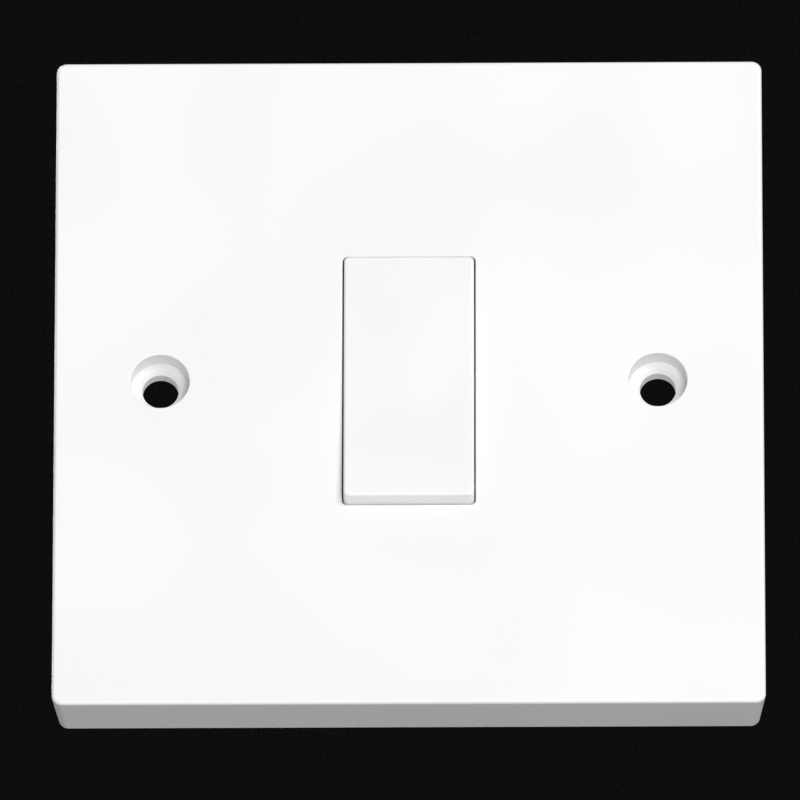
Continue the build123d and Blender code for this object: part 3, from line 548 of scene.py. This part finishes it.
bpy.ops.object.select_all(action="DESELECT")
bpy.ops.mesh.primitive_circle_add(
    vertices=WIRE_SIDES,
    radius=WIRE_RADIUS,
    location=(coil_radius, 0, 0),
    rotation=(radians(90), 0, 0),
)
coil_spring = bpy.context.object
bpy.ops.object.transform_apply()
coil = coil_spring.modifiers.new("coil", "SCREW")
coil.screw_offset = coil_height / COIL_TURNS
coil.iterations = COIL_TURNS
coil.steps = COIL_STEPS
coil.render_steps = COIL_STEPS
bpy.ops.object.modifier_apply(modifier=coil.name)
bpy.ops.object.mode_set(mode="EDIT")
bpy.ops.mesh.select_all(action="SELECT")
bpy.ops.mesh.remove_doubles(threshold=MERGE)
bpy.ops.mesh.select_all(action="DESELECT")
bpy.ops.mesh.select_mode(type="EDGE")
bpy.ops.mesh.select_non_manifold()
bpy.ops.mesh.edge_face_add()
bpy.ops.mesh.select_all(action="SELECT")
bpy.ops.mesh.normals_make_consistent(inside=False)
bpy.ops.object.mode_set(mode="OBJECT")
coil_spring.data.materials.append(wire.material)
smooth(coil_spring)

lean = press_axis.to_track_quat("Z", "X").to_matrix().to_4x4()
for side in ("left", "right"):
    low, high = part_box(f"plunger_spring_{side}")
    foot = (low + high) / 2
    foot += press_axis * (coil_foot + WIRE_RADIUS - press_axis.dot(foot))
    spring = copy_to(coil_spring, f"coil_spring_{side}", Matrix.Translation(foot) @ lean)
    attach(spring, "rocker")
    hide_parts(f"plunger_spring_{side}")
    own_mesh(spring)
bpy.data.objects.remove(coil_spring)


# Front plate: the square white urea moulding that shows on the wall. The front half of its tool is
# polished, so the face is smooth with a very slight ripple, and the back half is only stoned, so
# the inside is matt.
def facing_wall(finish):
    """1 on faces that look into the wall, 0 on the others."""
    parts = finish.tree.nodes.new("ShaderNodeSeparateXYZ")
    true_normal = finish.tree.nodes.new("ShaderNodeNewGeometry").outputs["True Normal"]
    finish.tree.links.new(true_normal, parts.inputs["Vector"])
    return finish.span(parts.outputs["Y"], low=0.0, high=1.0, start=0.3, end=0.6)


def either(finish, share, first, second):
    """The first value where the share is 0, the second where it is 1."""
    blend = finish.tree.nodes.new("ShaderNodeMix")
    finish.tree.links.new(share, blend.inputs["Factor"])
    finish.tree.links.new(first, blend.inputs["A"])
    finish.tree.links.new(second, blend.inputs["B"])
    return blend.outputs["Result"]


plate = Finish("moulded_urea")
plate_inside = facing_wall(plate)
plate_ripple = plate.noise(size=5 * MM, detail=0)
plate_cloud = plate.noise(size=18 * MM, detail=0)
plate_stoning = plate.noise(size=0.25 * MM, stretch=(1, 1, 3), detail=3)
plate_gloss = plate.span(plate_cloud, low=0.285, high=0.345, start=0.2, end=0.8)
plate_matt = plate.span(plate_stoning, low=0.42, high=0.58)
plate_swell = plate.span(plate_ripple, low=0.0, high=0.3, start=0.0, end=1.0)
plate_skin = either(plate, plate_inside, plate_swell, plate_stoning)
plate.feed(plate.shades(plate_cloud, WHITE_DARK, WHITE_LIGHT), "Base Color")
plate.feed(either(plate, plate_inside, plate_gloss, plate_matt), "Roughness")
plate.relief(plate_skin, depth=0.004 * MM, edge=0.1 * MM)
plate.dress("front_plate")


# Ejector marks: the shallow dished rounds that the tool's pins leave on the back of the plate's
# skin, in its corners and beside the fixing bosses, in the same white urea.
SKIN_BACK = -6.3 * MM
PIN_RADIUS = 2.4 * MM
PIN_SIDES = 48
PIN_STANDS = 0.12 * MM
PIN_SUNK = 0.05 * MM
PIN_RIM = 0.35 * MM
PIN_DISH = 0.06 * MM
PIN_EDGE = 0.03 * MM
PIN_PLACES = [(x * MM, z * MM) for x in (-33, 33) for z in (-33, -14, 14, 33)]

bpy.ops.object.select_all(action="DESELECT")
bpy.ops.mesh.primitive_cylinder_add(
    vertices=PIN_SIDES,
    radius=PIN_RADIUS,
    depth=PIN_STANDS + PIN_SUNK,
    location=(0, (PIN_STANDS - PIN_SUNK) / 2, 0),
    rotation=(radians(90), 0, 0),
)
pin_mark = bpy.context.object
bpy.ops.object.transform_apply()
bpy.ops.object.mode_set(mode="EDIT")
select_where(pin_mark, "FACE", lambda place: place.y > 0)
bpy.ops.mesh.bevel(offset=PIN_EDGE, segments=2)
select_where(pin_mark, "FACE", lambda place: place.y > PIN_STANDS - MERGE)
bpy.ops.mesh.inset(thickness=PIN_RIM)
bpy.ops.mesh.inset(thickness=PIN_DISH)
bpy.ops.transform.translate(value=(0, -PIN_DISH, 0))
bpy.ops.object.mode_set(mode="OBJECT")
pin_mark.data.materials.append(plate.material)
smooth(pin_mark)

for number, (x, z) in enumerate(PIN_PLACES, 1):
    mark = copy_to(pin_mark, f"ejector_mark_{number}", Matrix.Translation((x, SKIN_BACK, z)))
    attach(mark, "housing")
bpy.data.objects.remove(pin_mark)


# Fitter's mark: the word that says which way up the plate goes, raised on the back of its skin by
# the tool, in the same white urea.
TOP_HEIGHT = 3.0 * MM
TOP_RELIEF = 0.3 * MM
TOP_CENTRE = 33 * MM

top_mark = raised_letters("top_mark", "TOP", TOP_HEIGHT, TOP_RELIEF, (0, SKIN_BACK, TOP_CENTRE))
top_mark.data.materials.append(plate.material)
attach(top_mark, "housing")


# Base screws: pan-head screws of zinc-plated steel that cut their own coarse thread in the plate's
# pillars. Their cross recesses are punched when the heads are formed.
HEAD_RADIUS = 2.8 * MM
HEAD_HEIGHT = 1.8 * MM
HEAD_ROUND = 0.75 * MM
CROSS_LENGTH = 3.0 * MM
CROSS_WIDTH = 0.8 * MM
CROSS_DEPTH = 1.0 * MM
TAPPING_CREST = 1.5 * MM
TAPPING_ROOT = 1.1 * MM
TAPPING_PITCH = 0.9 * MM
TAPPING_POINT = 0.5 * MM
UPPER_TURN = 31
LOWER_TURN = -8

low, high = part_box("base_screws")
tapping_length = high.y - low.y
base_screw = threaded_rod(
    TAPPING_ROOT, TAPPING_CREST, TAPPING_PITCH, tapping_length + TAPPING_PITCH
)
tapping_point = turned_blank(
    radius=TAPPING_CREST + CUT_MARGIN,
    start=HEAD_HEIGHT / 2,
    end=tapping_length,
    edge_at=tapping_length,
    edge=TAPPING_POINT,
    segments=1,
)
combine(base_screw, tapping_point, "INTERSECT")
pan_head = turned_blank(
    radius=HEAD_RADIUS, start=0, end=HEAD_HEIGHT, edge_at=0, edge=HEAD_ROUND, segments=6
)
combine(base_screw, pan_head, "UNION")
for quarter in (0, 90):
    cross = slot_cutter(length=CROSS_LENGTH, width=CROSS_WIDTH, depth=CROSS_DEPTH)
    cross.data.transform(Matrix.Rotation(radians(quarter), 4, "Z"))
    combine(base_screw, cross, "DIFFERENCE")
mend(base_screw)
base_screw.data.materials.clear()
base_screw.data.materials.append(zinc.material)
smooth(base_screw)

upper_place = (0, high.y, high.z - HEAD_RADIUS)
lower_place = (0, high.y, low.z + HEAD_RADIUS)
screw_pair = copy_to(base_screw, "base_screw_pair", driven_in(upper_place, UPPER_TURN))
lower_screw = copy_to(base_screw, "base_screw_lower", driven_in(lower_place, LOWER_TURN))
bpy.data.objects.remove(base_screw)
take(screw_pair, lower_screw)
bpy.ops.object.join()
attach(screw_pair, "housing")
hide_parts("base_screws")


# Studio: a pale floor far below, soft boxes in front to the right, to the left, beneath and behind,
# a dark card far back in line with the view, and a long lens that looks up at the plate.
FLOOR_LEVEL = -4.0
FLOOR_SIZE = 26.0
PAPER_DARK = (0.74, 0.74, 0.73)
PAPER_LIGHT = (0.78, 0.78, 0.77)
CARD_AWAY = 4.5
CARD_SIZE = 0.9
FELT_DARK = (0.008, 0.008, 0.009)
FELT_LIGHT = (0.013, 0.013, 0.014)
FELT_ROUGHNESS = 0.95
FELT_SHINE = 0.1
AZIMUTH = radians(0.617)
ELEVATION = radians(-25.275)
ROLL = radians(0.044)
CAMERA_AWAY = 2.5884
CAMERA_RANGE = 30.0
SENSOR_WIDTH = 36.0
FOCAL_PIXELS = 21302.9
IMAGE_SIZE = 800
ORIGIN_RIGHT_PIXELS = 9.64
ORIGIN_DOWN_PIXELS = 10.22
AMBIENT = 0.22
# Each soft box has its place, its width in metres and its power in watts.
SOFT_BOXES = {
    "key_light": ((0.8, -1.5, 0.5), 0.7, 14.0),
    "front_light": ((0.45, -2.0, -0.65), 0.9, 25.5),
    "fill_light": ((-1.2, -1.3, 0.1), 1.0, 3.0),
    "under_light": ((0.3, -0.7, -2.2), 1.2, 7.0),
    "rear_light": ((-0.7, 1.3, 1.0), 0.8, 16.0),
}

view_out = Vector(
    (sin(AZIMUTH) * cos(ELEVATION), -cos(AZIMUTH) * cos(ELEVATION), sin(ELEVATION))
)
facing_view = view_out.to_track_quat("Z", "Y")

paper = Finish("pale_paper")
paper_tooth = paper.noise(size=3 * MM, detail=4)
paper.feed(paper.shades(paper_tooth, PAPER_DARK, PAPER_LIGHT), "Base Color")
paper.feed(paper.span(paper_tooth, low=0.75, high=0.9), "Roughness")
bpy.ops.object.select_all(action="DESELECT")
bpy.ops.mesh.primitive_plane_add(size=FLOOR_SIZE, location=(0, 0, FLOOR_LEVEL))
floor = bpy.context.object
floor.name = "floor"
floor.data.materials.append(paper.material)

felt = Finish("dark_felt")
felt_nap = felt.noise(size=1 * MM, detail=4)
felt.feed(felt.shades(felt_nap, FELT_DARK, FELT_LIGHT), "Base Color")
felt.shader.inputs["Roughness"].default_value = FELT_ROUGHNESS
felt.shader.inputs["Specular IOR Level"].default_value = FELT_SHINE
bpy.ops.object.select_all(action="DESELECT")
bpy.ops.mesh.primitive_plane_add(size=CARD_SIZE, location=-view_out * CARD_AWAY)
dark_card = bpy.context.object
dark_card.name = "dark_card"
dark_card.rotation_euler = facing_view.to_euler()
dark_card.data.materials.append(felt.material)

for name, (place, width, power) in SOFT_BOXES.items():
    lamp = bpy.data.lights.new(name, "AREA")
    lamp.shape = "DISK"
    lamp.size = width
    lamp.energy = power
    soft_box = bpy.data.objects.new(name, lamp)
    soft_box.location = place
    soft_box.rotation_euler = Vector(place).to_track_quat("Z", "Y").to_euler()
    bpy.context.scene.collection.objects.link(soft_box)

scene = bpy.context.scene
scene.world = bpy.data.worlds.new("studio")
scene.world.use_nodes = True
surround = scene.world.node_tree.nodes["Background"]
surround.inputs["Color"].default_value = (1.0, 1.0, 1.0, 1)
surround.inputs["Strength"].default_value = AMBIENT
scene.view_settings.view_transform = "Standard"

lens = bpy.data.cameras.new("camera")
lens.sensor_width = SENSOR_WIDTH
lens.lens = FOCAL_PIXELS / IMAGE_SIZE * SENSOR_WIDTH
lens.clip_end = CAMERA_RANGE
lens.shift_x = -ORIGIN_RIGHT_PIXELS / IMAGE_SIZE
lens.shift_y = ORIGIN_DOWN_PIXELS / IMAGE_SIZE
camera = bpy.data.objects.new("camera", lens)
camera.location = view_out * CAMERA_AWAY
camera.rotation_mode = "QUATERNION"
aim = Matrix.Rotation(ROLL, 3, view_out) @ facing_view.to_matrix()
camera.rotation_quaternion = aim.to_quaternion()
scene.collection.objects.link(camera)
scene.camera = camera
